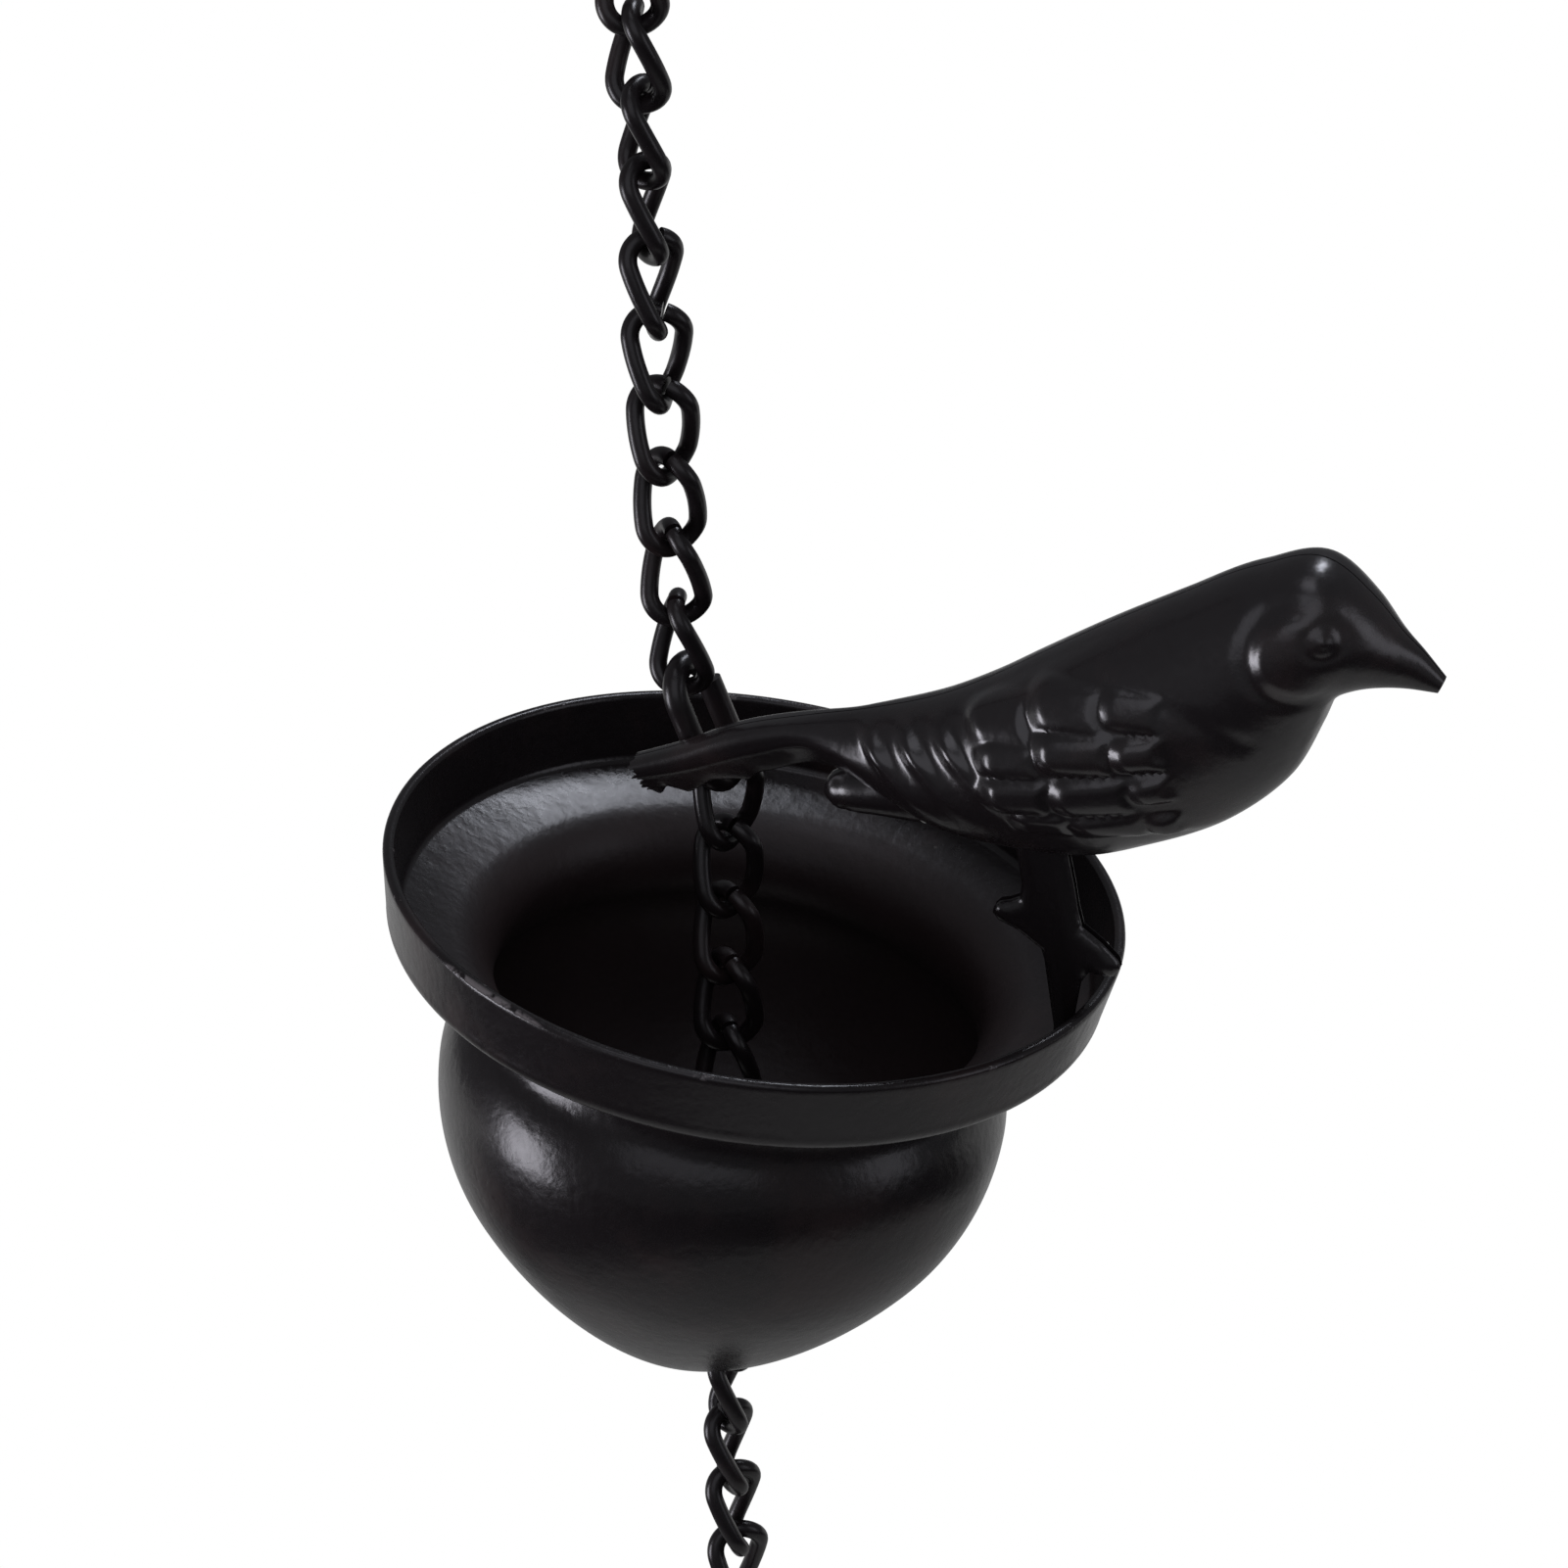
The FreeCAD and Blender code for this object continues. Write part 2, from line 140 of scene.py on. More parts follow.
# %% One call for a node
class Tree:
    """A node tree that is filled by calls of its methods."""

    def __init__(self, nodes, links):
        self.nodes = nodes
        self.links = links

    def node(self, kind, settings=None, inputs=None, output=0):
        made = self.nodes.new(kind)
        for key, value in (settings or {}).items():
            setattr(made, key, value)
        for key, value in (inputs or {}).items():
            if isinstance(value, Sock):
                self.links.new(value.socket, made.inputs[key])
            else:
                made.inputs[key].default_value = value
        return Sock(self, made.outputs[output]) if len(made.outputs) else None

    def noise(self, where, scale, detail, roughness=0.5):
        inputs = {"Vector": where, "Scale": scale, "Detail": detail, "Roughness": roughness}
        return self.node("ShaderNodeTexNoise", {}, inputs)

    def mix(self, share, first, second):
        """A colour between two others."""
        inputs = {0: share, 6: first, 7: second}
        return self.node("ShaderNodeMix", {"data_type": "RGBA"}, inputs, output=2)

    def measure(self, operation, first, second):
        """One number from two vectors: DOT_PRODUCT or DISTANCE."""
        inputs = {0: first, 1: tuple(second)}
        return self.node("ShaderNodeVectorMath", {"operation": operation}, inputs, output="Value")


def empty_tree(owner):
    """The node tree of a material or a world, cleared for new nodes."""
    owner.use_nodes = True
    owner.node_tree.nodes.clear()
    return Tree(owner.node_tree.nodes, owner.node_tree.links)


print("short calls:", [name for name in vars(Tree) if not name.startswith("_")])

# %% [markdown]
# The whole object wears one paint: a nearly black brown with a soft gloss. It
# was sprayed on in one coat, so it has a fine orange peel, a few dust specks,
# and here and there a browner patch. A picture could be wrapped round every
# piece, but each would need its own unwrapping. Noise that is read in Object
# coordinates, in metres, needs none, and keeps its size on every piece.

# %% The paint
PAINT = (0.0140, 0.0108, 0.0118, 1.0)
PAINT_BROWN = (0.029, 0.0185, 0.0185, 1.0)
DUST = (0.16, 0.15, 0.14, 1.0)
RUBBED = (0.22, 0.20, 0.20, 1.0)
CHIP = (0.20, 0.13, 0.075, 1.0)


def paint(name, gloss, peel, marks_and_light=None, shine=0.5):
    """A painted finish. The mask maker, where given, adds worn places and a painted light."""
    material = bpy.data.materials.new(name)
    tree = empty_tree(material)
    where = tree.node("ShaderNodeTexCoord", output="Object")
    mottle = tree.noise(where, scale=55.0, detail=5.0, roughness=0.6)
    grain = tree.noise(where, scale=950.0, detail=3.0)
    ripple = tree.noise(where, scale=240.0, detail=2.0)
    sparse = tree.noise(where, scale=90.0, detail=1.0)
    specks = tree.node("ShaderNodeTexVoronoi", {}, {"Vector": where, "Scale": 170.0, "Randomness": 1.0})
    dust = (1 - specks.step(0.03, 0.07)) * sparse.step(0.60, 0.68)
    colour = tree.mix(mottle.step(0.48, 0.72), PAINT, PAINT_BROWN)
    colour = tree.mix(dust * 0.7, colour, DUST)
    rough = gloss + (mottle - 0.5) * 0.16 + (grain - 0.5) * 0.10 + dust * 0.2
    height = ripple * 0.55 + grain * 0.30
    if marks_and_light is not None:
        rubbed, chip, dull_and_painted_light = marks_and_light(tree, where)
        # Painted light: the inside of the cup is painted a lighter brown.
        colour = tree.mix(dull_and_painted_light * 0.8, colour, PAINT_BROWN)
        colour = tree.mix(rubbed, colour, RUBBED)
        colour = tree.mix(chip, colour, CHIP)
        rough = rough - rubbed * 0.08 + chip * 0.3 + dull_and_painted_light * 0.2
        height = height - rubbed * 0.4 - chip * 2.0
    bump = tree.node("ShaderNodeBump", {}, {"Strength": 1.0, "Distance": peel * MM, "Height": height})
    coat = {
        "Base Color": colour,
        "Roughness": rough.between(0.12, 0.9),
        "Normal": bump,
        "Specular IOR Level": shine,
        "IOR": 1.5,
    }
    shader = tree.node("ShaderNodeBsdfPrincipled", {}, coat)
    tree.node("ShaderNodeOutputMaterial", {}, {"Surface": shader})
    return material


LINK_PAINT = paint("link_paint", gloss=0.30, peel=0.05)
HOOK_PAINT = paint("hook_paint", gloss=0.30, peel=0.07)
BIRD_PAINT = paint("bird_paint", gloss=0.26, peel=0.12, shine=0.85)
print("finishes:", [finish.name for finish in (LINK_PAINT, HOOK_PAINT, BIRD_PAINT)])

# %% [markdown]
# The cup shows the most use. On one stretch of the lip the edge has rubbed
# through to a paler grey, and the collar has one small chip. The inside below
# the shelf is rougher and is painted a lighter brown, a painted light that
# stands in for the light inside the bowl. The masks could be painted by hand onto
# the faces. Here they are measured: how high a place lies under the lip, which
# way it lies from the axis, and whether its face looks towards the axis.

# %% The cup's wear and painted light
WORN_WAY = Vector((-0.454, -0.891, 0.0))
CHIP_SPOT = Vector((33.6, -29.7, -8.4))


def cup_marks_and_light(tree, where):
    """Masks of the rubbed lip, of the chip on the collar, and of the inside, which is rougher and has a
    painted light.
    """
    turned = UNIT_PLACE.to_3x3()
    facing = tree.node("ShaderNodeTexCoord", output="Normal")

    def reach(way):
        return tree.measure("DOT_PRODUCT", where, way) - way.dot(LIP_CENTRE) * MM

    height = reach(turned @ Vector((0, 0, 1)))
    sides = [turned @ Vector((1, 0, 0)), turned @ Vector((0, 1, 0))]
    out_x, out_y = [reach(way) * tree.measure("DOT_PRODUCT", facing, way) for way in sides]
    inward = 1 - (out_x + out_y).step(-10 * MM, -2 * MM)
    # Painted light: below the shelf the inside is painted lighter, and it is also rougher.
    dull_and_painted_light = inward * (1 - height.step(-13 * MM, -9 * MM))

    patches = tree.noise(where, scale=420.0, detail=3.0, roughness=0.6)
    edge = height.step(-0.75 * MM, -0.25 * MM) * (1 - height.step(-0.10 * MM, 0.05 * MM))
    stretch = reach(turned @ WORN_WAY).step(44.35 * MM, 44.75 * MM) * patches.step(0.36, 0.52)
    nibbles = patches.step(0.66, 0.72) * 0.6

    away = tree.measure("DISTANCE", where, UNIT_PLACE @ CHIP_SPOT * MM)
    ragged = away + (patches - 0.5) * 1.2 * MM
    chip = 1 - ragged.step(0.55 * MM, 0.75 * MM)
    return edge * stretch.largest(nibbles), chip, dull_and_painted_light


CUP_PAINT = paint("cup_paint", gloss=0.27, peel=0.16, marks_and_light=cup_marks_and_light)
print("nodes in the cup's paint:", len(CUP_PAINT.node_tree.nodes))

# %% [markdown]
# The cup is one disc of sheet, spun on a lathe: a collar that turns in under
# the lip, a shelf, a neck, and a bowl that closes to the drain hole. It could
# be shaped from a cylinder by hand, but a spun shape is its wall section,
# turned about the axis, and a section of lines and arcs that touch smoothly
# can be worked out from a few sizes. Every arc below starts where the last one
# ends, so a change of one size moves the others along.

# %% The cup's wall section
WALL = 1.5


def arc(centre, radius, start, end, count):
    angles = np.radians(np.linspace(start, end, count))
    return np.c_[centre[0] + radius * np.cos(angles), centre[1] + radius * np.sin(angles)]


def wall_side(inset):
    """One side of the wall from the lip down to the drain hole, as (radius, height)."""
    lip, taper, collar, roll = 45.4, 1.3, 10.4, 2.6
    slope, hollow, neck, belly, depth = 15.0, 6.0, 31.5, 35.2, 29.7
    bowl, bowl_turn, base, drain = 31.0, 34.0, 70.4, 13.5
    lean = math.radians(slope)
    corner = np.array([lip - taper - roll, roll - collar])
    under = np.array([math.sin(lean), -math.cos(lean)])
    shelf = corner + under * roll
    neck_x = neck + hollow
    fall = (shelf[0] - neck_x + under[0] * hollow) * math.tan(lean)
    neck_centre = np.array([neck_x, shelf[1] - fall + under[1] * hollow])
    rise = depth + neck_centre[1]
    bulge = 2 * math.atan((belly - neck) / rise)
    shoulder = rise / math.sin(bulge) - hollow
    bulge = math.degrees(bulge)
    bowl_centre = np.array([belly - bowl, -depth])
    bend = math.radians(bowl_turn)
    base_centre = bowl_centre - (base - bowl) * np.array([math.cos(bend), -math.sin(bend)])
    base_turn = math.degrees(math.acos((drain - base_centre[0]) / (base - inset)))
    straight = np.linspace(0.08, 1.0, 14)[:, None]
    start = np.array([lip - inset, 0.0])
    foot = np.array([lip - taper - inset, corner[1]])
    return np.concatenate([
        start + (foot - start) * straight,
        arc(corner, roll - inset, 0, slope - 90, 12)[1:],
        arc(neck_centre, hollow + inset, 90 + slope, 180 + bulge, 26),
        arc((belly - shoulder, -depth), shoulder - inset, bulge, 0, 20)[1:],
        arc(bowl_centre, bowl - inset, 0, -bowl_turn, 22)[1:],
        arc(base_centre, base - inset, -bowl_turn, -base_turn, 34)[1:],
    ])


outside = wall_side(0.0)
inside = wall_side(WALL)
lip_x, lip_z = outside[0]
lip_edge = arc((lip_x - WALL / 2, lip_z), WALL / 2, 180, 0, 9)
lip_edge[:, 1] = lip_z + (lip_edge[:, 1] - lip_z) * abs(lip_z) / (WALL / 2)
section = np.concatenate([outside, inside[::-1], lip_edge[1:-1]])
print("points in the wall section:", len(section))

# %% [markdown]
# The section runs outside down and inside up, and closes over the lip's
# rounded edge, so turning it gives a whole wall with no gap. A slow wave of a
# few hundredths, strongest at the lip, keeps the highlights from being machine
# perfect, as on any sheet that was spun by hand.

# %% The cup
CUP_STEPS = 200
WAVES = ((3, 0.05, 0.6), (5, 0.035, 2.0))
WAVE_FADE = 25.0


def spun(name, finish):
    """The closed section turned about the Z axis."""
    angles = np.linspace(0, 2 * math.pi, CUP_STEPS, endpoint=False)[:, None]
    radius, height = section[:, 0][None, :], section[:, 1][None, :]
    wave = sum(size * np.sin(count * angles + shift) for count, size, shift in WAVES)
    radius = radius + wave * np.exp(height / WAVE_FADE)
    points = np.stack([radius * np.cos(angles), radius * np.sin(angles), height + 0 * radius], axis=-1)
    rows, columns = points.shape[:2]
    index = np.arange(rows * columns).reshape(rows, columns)
    ahead = np.roll(index, -1, axis=0)
    faces = np.stack([index, ahead, np.roll(ahead, -1, axis=1), np.roll(index, -1, axis=1)], axis=-1)
    mesh = bpy.data.meshes.new(name)
    mesh.from_pydata(points.reshape(-1, 3).tolist(), [], faces.reshape(-1, 4)[:, ::-1].tolist())
    mesh.materials.append(finish)
    mesh.shade_smooth()
    mesh.set_sharp_from_angle(angle=math.radians(55))
    return mesh


cup = put("cup_wall", spun("cup_wall", CUP_PAINT), UNIT_PLACE, "cup_unit", "cup")
print("cup:", len(cup.data.polygons), "faces")

# %% [markdown]
# A link is a length of wire bent to an oval and then twisted a quarter turn,
# with its two ends meeting in a joint beside the top. It could be a bent
# torus, but it follows a rule, so Geometry Nodes make it: the wire's length
# runs round the oval, each point is worked out from how far along it lies, and
# the twist turns it by its height. Clamped lengths give the two straight sides
# and the two round ends without a single branch. The hook is the same loop of
# thicker wire, with no twist and a wider mouth, so one tree serves both.

# %% The tree of a wire loop
LOOP_INPUTS = ["Wire Radius", "Half Width", "Eye", "Twist", "Mouth", "Mouth Middle"]
POINTS_ALONG = 150
POINTS_AROUND = 22


def loop_point(tree, wire, half, eye, twist, mouth, middle):
    """The place of one point of the wire's middle line."""
    side = eye + wire * 2 - half * 2
    quarter = half * (math.pi / 2)
    around = quarter * 4 + side * 2
    factor = tree.node("GeometryNodeSplineParameter")
    along = middle + mouth * 0.5 + factor * (around - mouth)
    along = tree.node("ShaderNodeMath", {"operation": "WRAP"}, {0: along, 1: around, 2: 0.0})
    turn_1 = (along / half).between(0.0, math.pi / 2)
    side_1 = (along - quarter).between(0.0, side)
    turn_2 = ((along - quarter - side) / half).between(0.0, math.pi)
    side_2 = (along - quarter * 3 - side).between(0.0, side)
    turn_3 = ((along - quarter * 3 - side * 2) / half).between(0.0, math.pi / 2)
    turn = turn_1 + turn_2 + turn_3
    across = half * turn.sine()
    height = wire - half + half * turn.cosine() - side_1 + side_2
    angle = twist * (wire - height) / (eye + wire * 2)
    spot = {"X": across * angle.cosine(), "Y": across * angle.sine(), "Z": height}
    return tree.node("ShaderNodeCombineXYZ", {}, spot)


def wire_loop_tree():
    group = bpy.data.node_groups.new("wire_loop", "GeometryNodeTree")
    for name in LOOP_INPUTS:
        group.interface.new_socket(name, in_out="INPUT", socket_type="NodeSocketFloat")
    group.interface.new_socket("Finish", in_out="INPUT", socket_type="NodeSocketMaterial")
    group.interface.new_socket("Geometry", in_out="OUTPUT", socket_type="NodeSocketGeometry")
    tree = Tree(group.nodes, group.links)
    entry = group.nodes.new("NodeGroupInput")
    sizes = [Sock(tree, entry.outputs[name]) for name in LOOP_INPUTS]
    finish = Sock(tree, entry.outputs["Finish"])
    line = tree.node("GeometryNodeCurvePrimitiveLine")
    line = tree.node("GeometryNodeResampleCurve", {}, {"Curve": line, "Count": POINTS_ALONG})
    spot = loop_point(tree, *sizes)
    line = tree.node("GeometryNodeSetPosition", {}, {"Geometry": line, "Position": spot})
    circle = {"Resolution": POINTS_AROUND, "Radius": sizes[0]}
    ring = tree.node("GeometryNodeCurvePrimitiveCircle", {}, circle)
    swept = {"Curve": line, "Profile Curve": ring, "Fill Caps": True}
    solid = tree.node("GeometryNodeCurveToMesh", {}, swept)
    solid = tree.node("GeometryNodeSetShadeSmooth", {}, {"Geometry": solid})
    solid = tree.node("GeometryNodeRealizeInstances", {}, {"Geometry": solid})
    solid = tree.node("GeometryNodeSetMaterial", {}, {"Geometry": solid, "Material": finish})
    leave = group.nodes.new("NodeGroupOutput")
    group.links.new(solid.socket, leave.inputs["Geometry"])
    return group


WIRE_LOOP = wire_loop_tree()
print("wire loop:", len(WIRE_LOOP.nodes), "nodes")

# %% [markdown]
# The tree could stay on every link as a live modifier. A link doesn't change
# any more, though, so the evaluated result is kept as a plain mesh, which is
# also what can be handed on to other programs. Each modifier input is set by
# its socket's identifier, before the object is evaluated for the first time.

# %% From the tree to a mesh
def grown(group, values):
    """The plain mesh that a tree gives for these values."""
    seed = bpy.data.objects.new("seed", bpy.data.meshes.new("seed"))
    bpy.context.scene.collection.objects.link(seed)
    modifier = seed.modifiers.new("tree", "NODES")
    modifier.node_group = group
    for item in group.interface.items_tree:
        if item.in_out == "INPUT":
            modifier[item.identifier] = values[item.name]
    ready = seed.evaluated_get(bpy.context.evaluated_depsgraph_get())
    mesh = bpy.data.meshes.new_from_object(ready)
    bpy.data.objects.remove(seed)
    mesh.set_sharp_from_angle(angle=math.radians(50))
    return mesh


LINK = {
    "Wire Radius": 1.1,
    "Half Width": 3.25,
    "Eye": 9.5,
    "Twist": math.pi / 2,
    "Mouth": 0.45,
    "Mouth Middle": 1.0,
    "Finish": LINK_PAINT,
}
HOOK = {
    "Wire Radius": 1.5,
    "Half Width": 3.7,
    "Eye": 12.2,
    "Twist": 0.0,
    "Mouth": 2.45,
    "Mouth Middle": 4.78,
    "Finish": HOOK_PAINT,
}
print("wire of a link and of the hook, across:", 2 * LINK["Wire Radius"], 2 * HOOK["Wire Radius"])

# %% [markdown]
# Above the cup the links hang plumb, each one turned a little further than the
# last, because every link carries the twist on to the next. Below the hook
# they run straight to the drain hole and then hang plumb again. They could be
# scattered along a curve, but each link is a body of its own that swings, so
# each gets its own place from the eye above it.

# %% The links and the hook
PLUMB = Vector((0, 0, -1))
LINK_PITCH = 9.25
LINK_PLAY = 0.25
HOOK_PLAY = 0.35
UPPER_LINKS, UPPER_TURN, UPPER_STEP = 10, 118.0, -22.0
LOWER_LINKS, LOWER_TURN, LOWER_STEP = 13, -12.0, -12.0
SLANTED_LINKS = 10
THROUGH = Vector((5.3, -0.5, 0.0))


def hang(top, down, turn):
    """A link's place: the top of its eye, the way it hangs, and its turn in degrees."""
    lie = PLUMB.rotation_difference(down).to_matrix().to_4x4()
    return Matrix.Translation(top) @ lie @ Matrix.Rotation(math.radians(turn), 4, "Z")


link_places = []
for n in range(UPPER_LINKS):
    link_places.append(hang(PLUMB * (LINK_PITCH * n), PLUMB, UPPER_TURN + UPPER_STEP * n))

hook_foot = HOOK_PLACE @ Vector((0, 0, -HOOK["Eye"] - HOOK["Wire Radius"]))
drain_middle = UNIT_PLACE @ Vector((0, 0, inside[-1][1]))
run = (drain_middle + THROUGH - hook_foot).normalized()
top = hook_foot - run * (HOOK["Wire Radius"] + HOOK_PLAY)
for n in range(LOWER_LINKS):
    down = run if n < SLANTED_LINKS else PLUMB
    after = run if n + 1 < SLANTED_LINKS else PLUMB
    link_places.append(hang(top, down, LOWER_TURN + LOWER_STEP * n))
    top = top + down * LINK["Eye"] - after * LINK_PLAY

for number, place in enumerate(link_places, start=1):
    node = "chain_link_%02d" % number
    link = put(node + "_wire", grown(WIRE_LOOP, LINK), place, "link_%02d" % number, node)
hook = put("tail_hook_wire", grown(WIRE_LOOP, HOOK), HOOK_PLACE, "cup_unit", "tail_hook")
print("links:", len(link_places), "faces in each:", len(link.data.polygons))
print("hook:", len(hook.data.polygons), "faces")

# %% [markdown]
# Each half of the bird is a stamping: a sheet pressed into a hollow form. It
# could be sculpted, but then nothing would tie it to the drawing. Here the
# form is a skin over oval sections that stand across the back, from the tail
# to the bill, and between the sections the values run on smooth curves. A row
# holds a section's place along and up, its lean in degrees, its half height,
# and its share of the bird's half width.

# %% The bird's sections
STATIONS = np.array([
    (-57.1, 13.2, 33, 2.2, 0.17),
    (-51.1, 16.2, 32, 2.8, 0.19),
    (-44.5, 20.2, 29, 3.3, 0.22),
    (-36.0, 24.2, 27, 3.3, 0.26),
    (-29.2, 24.5, 31, 5.7, 0.45),
    (-23.4, 24.6, 36, 8.2, 0.66),
    (-16.0, 26.4, 40, 10.3, 0.84),
    (-9.1, 29.2, 42, 12.2, 0.95),
    (-3.2, 33.2, 43, 13.1, 1.0),
    (4.5, 39.2, 44, 13.6, 1.0),
    (11.4, 46.2, 43, 12.4, 0.93),
    (16.4, 52.7, 33, 10.1, 0.85),
    (20.5, 56.0, 15, 8.5, 0.76),
    (24.5, 55.2, 0, 5.8, 0.58),
    (27.8, 54.0, -10, 3.7, 0.36),
    (30.8, 53.2, -16, 2.4, 0.2),
    (34.0, 52.2, -16, 1.0, 0.1),
])
FOLDED_TIP = np.array([
    (-22.8, 22.2, 20, 4.5, 0.4),
    (-28.3, 20.0, 20, 3.0, 0.3),
    (-31.6, 18.8, 22, 2.3, 0.22),
    (-33.4, 18.1, 24, 1.4, 0.13),
    (-34.0, 17.9, 24, 0.4, 0.05),
])


def smooth_rows(table, count):
    """Rows between the rows of a table, on smooth curves through them."""
    steps = np.hypot(np.diff(table[:, 0]), np.diff(table[:, 1]))
    knots = np.r_[0, np.cumsum(steps)]
    slope = np.gradient(table, knots, axis=0)
    at = np.linspace(0, knots[-1], count)
    k = np.clip(np.searchsorted(knots, at, side="right") - 1, 0, len(knots) - 2)
    width = (knots[k + 1] - knots[k])[:, None]
    t = (at - knots[k])[:, None] / width
    a, b = table[k], table[k + 1]
    start = (1 + 2 * t) * (1 - t) ** 2 * a + t * (1 - t) ** 2 * width * slope[k]
    return start + t**2 * (3 - 2 * t) * b + t**2 * (t - 1) * width * slope[k + 1]


print("sections of the body and of the folded wing tip:", len(STATIONS), len(FOLDED_TIP))

# %% [markdown]
# The wing's feathers are pressed up from the sheet. They could be a bump in
# the paint, but their light and dark come from a rise of about a millimetre,
# which also shows in the outline, so they are real relief. A row holds a
# feather's rear and front end, seen from the side, its half width and its
# height. The rear end rises steeply and the front runs out into the body.

# %% The wing's feathers
FEATHERS = [
    ((-18.6, 35.4), (-10.6, 38.2), 2.6, 1.0),
    ((-11.4, 40.2), (-2.4, 42.4), 2.6, 1.2),
    ((-3.6, 43.2), (4.0, 44.4), 2.0, 0.8),
    ((-15.9, 32.2), (-8.4, 34.6), 1.9, 1.1),
    ((-9.4, 35.6), (-0.4, 38.4), 2.2, 1.5),
    ((-0.8, 38.4), (5.2, 40.2), 1.9, 1.5),
    ((-14.8, 28.6), (-6.4, 31.0), 2.0, 1.3),
    ((-6.6, 31.2), (2.6, 34.2), 2.2, 1.2),
    ((2.0, 34.6), (7.0, 36.2), 1.7, 1.3),
    ((-10.8, 26.2), (-3.6, 27.8), 1.7, 0.9),
    ((-3.6, 27.6), (4.8, 30.2), 1.9, 1.0),
    ((4.4, 30.2), (8.8, 31.4), 1.5, 1.1),
]
FEATHER_RAMP = 3.0


def blend(value, low, high):
    """0 below low, 1 above high, and smooth between them."""
    t = np.clip((value - low) / (high - low), 0, 1)
    return t * t * (3 - 2 * t)


def feather(x, z, rear, front, half, height):
    """One feather: a ramp up from its round rear edge, then a slow fall to its front."""
    reach = np.subtract(front, rear)
    length = float(np.hypot(*reach))
    way = reach / length
    aside = (z - rear[1]) * way[0] - (x - rear[0]) * way[1]
    along = (x - rear[0]) * way[0] + (z - rear[1]) * way[1] - 0.4 * aside**2 / half
    ramp = np.clip(along / FEATHER_RAMP, 0, 1)
    ramp = ramp * (1.25 - 0.25 * ramp**4)
    fall = 1 - 0.55 * np.clip((along - 2.5) / length, 0, 1)
    side = np.clip(1 - (np.abs(aside) / (half * 1.12)) ** 3, 0, 1)
    return height * ramp * fall * side * (1 - blend(along, length - 1.0, length + 0.8))


def wing(x, z):
    """A raised pad with the feathers on it, each the highest one at its place."""
    from_rear = 0.786 * (x + 19.1) + 0.619 * (z - 36.1)
    from_foot = z - 26.8 - 0.13 * (x + 9.6)
    pad = blend(from_rear, -1.6, 2.2) * (1 - blend(from_rear, 12.0, 26.0)) * blend(from_foot, -1.2, 1.4)
    lobes = np.zeros_like(x)
    for row in FEATHERS:
        lobes = np.maximum(lobes, feather(x, z, *row))
    return 0.75 * pad + lobes


print("feathers on each wing:", len(FEATHERS))

# %% [markdown]
# The same press made the rest of the relief: ripples where the back meets the
# tail, a cheek with a raised rear edge and a furrow behind it, a small round
# eye in a shallow socket, and a fold at the shoulder. All are sums of soft
# bumps, because a press rounds every edge.

# %% The rest of the relief
RIPPLE_FIRST = 3.3
RIPPLE_STEP = 4.28
CHEEK = (18.7, 55.3)
EYE = (20.7, 57.7)
SHOULDER = (4.6, 45.9)
SHOULDER_RUN = (9.9, -2.5)
SHOULDER_RUN_SQUARED = 104.3


def soft(distance, width):
    """A round bump: 1 in the middle and almost 0 from twice its width."""
    return np.exp(-((distance / width) ** 2))


def ripples(x, z):
    """Ripples across the root of the tail, highest along a slanted middle line."""
    across = 0.64 * x + 0.77 * z
    along = 0.77 * x - 0.64 * z
    wave = (across - 0.010 * (along + 38.5) ** 2 - RIPPLE_FIRST) / RIPPLE_STEP
    crest = (0.5 + 0.5 * np.cos(2 * math.pi * wave)) ** 1.3
    ends = blend(across, 0.8, 2.6) * (1 - blend(across, 13.0, 15.0))
    middle = -39.0 + 0.47 * (across - RIPPLE_FIRST)
    sides = 0.75 * soft(along - middle, 2.4) + 0.25 * soft(along - middle - 4, 5)
    return 1.1 * crest * ends * sides


def face(x, z):
    """The cheek with its furrow, and the eye."""
    ahead, above = x - CHEEK[0], z - CHEEK[1]
    cheek = np.hypot(ahead / 1.12, above)
    rearward = blend(-ahead - 0.35 * above, -4.0, 3.0)
    height = 0.55 * (1 - blend(cheek, 3.6, 5.4)) * (0.15 + 0.85 * rearward)
    height = height - 0.35 * rearward * soft(cheek - 5.9, 1.0)
    eye = np.hypot(x - EYE[0], z - EYE[1])
    return height - 0.30 * soft(eye - 1.9, 0.9) + 0.10 * soft(eye - 1.3, 0.35) + 0.28 * soft(eye, 0.6)


def shoulder_fold(x, z):
    """A shallow furrow along a short line."""
    ahead, above = x - SHOULDER[0], z - SHOULDER[1]
    share = (ahead * SHOULDER_RUN[0] + above * SHOULDER_RUN[1]) / SHOULDER_RUN_SQUARED
    share = np.clip(share, 0, 1)
    away = np.hypot(ahead - SHOULDER_RUN[0] * share, above - SHOULDER_RUN[1] * share)
    return -0.22 * soft(away, 1.3)


def bird_relief(x, z):
    """Height of the relief at a place on the bird's side."""
    return wing(x, z) + ripples(x, z) + face(x, z) + shoulder_fold(x, z)


print("relief in the middle of the eye:", bird_relief(*[np.array([v]) for v in EYE]).round(2))

# %% [markdown]
# The skin is a grid of points: along the bird from section to section, and
# round each section from the back over the side to the belly. The relief is
# added along the skin's own normal, so that it follows the body like a pressed
# pattern, and it fades out towards the seam, where the two halves meet on a
# plain edge. Towards the tail the oval turns into a flat fan with a crease,
# and its lower edge has teeth.

# %% The bird's skin
BIRD_HALF_WIDTH = 11.0
SHEET = 0.3
SEAM = 0.2
TAIL_LEAN = math.radians(33)
TAIL_EDGE = np.array([
    (-58.0, 0.2), (-56.6, 0.1), (-55.7, 0.8), (-54.6, -0.3), (-52.4, 0.8),
    (-49.2, -0.4), (-46.8, 0.1), (-45.4, 0.5), (-43.8, -0.2), (-41.0, 0.0),
])


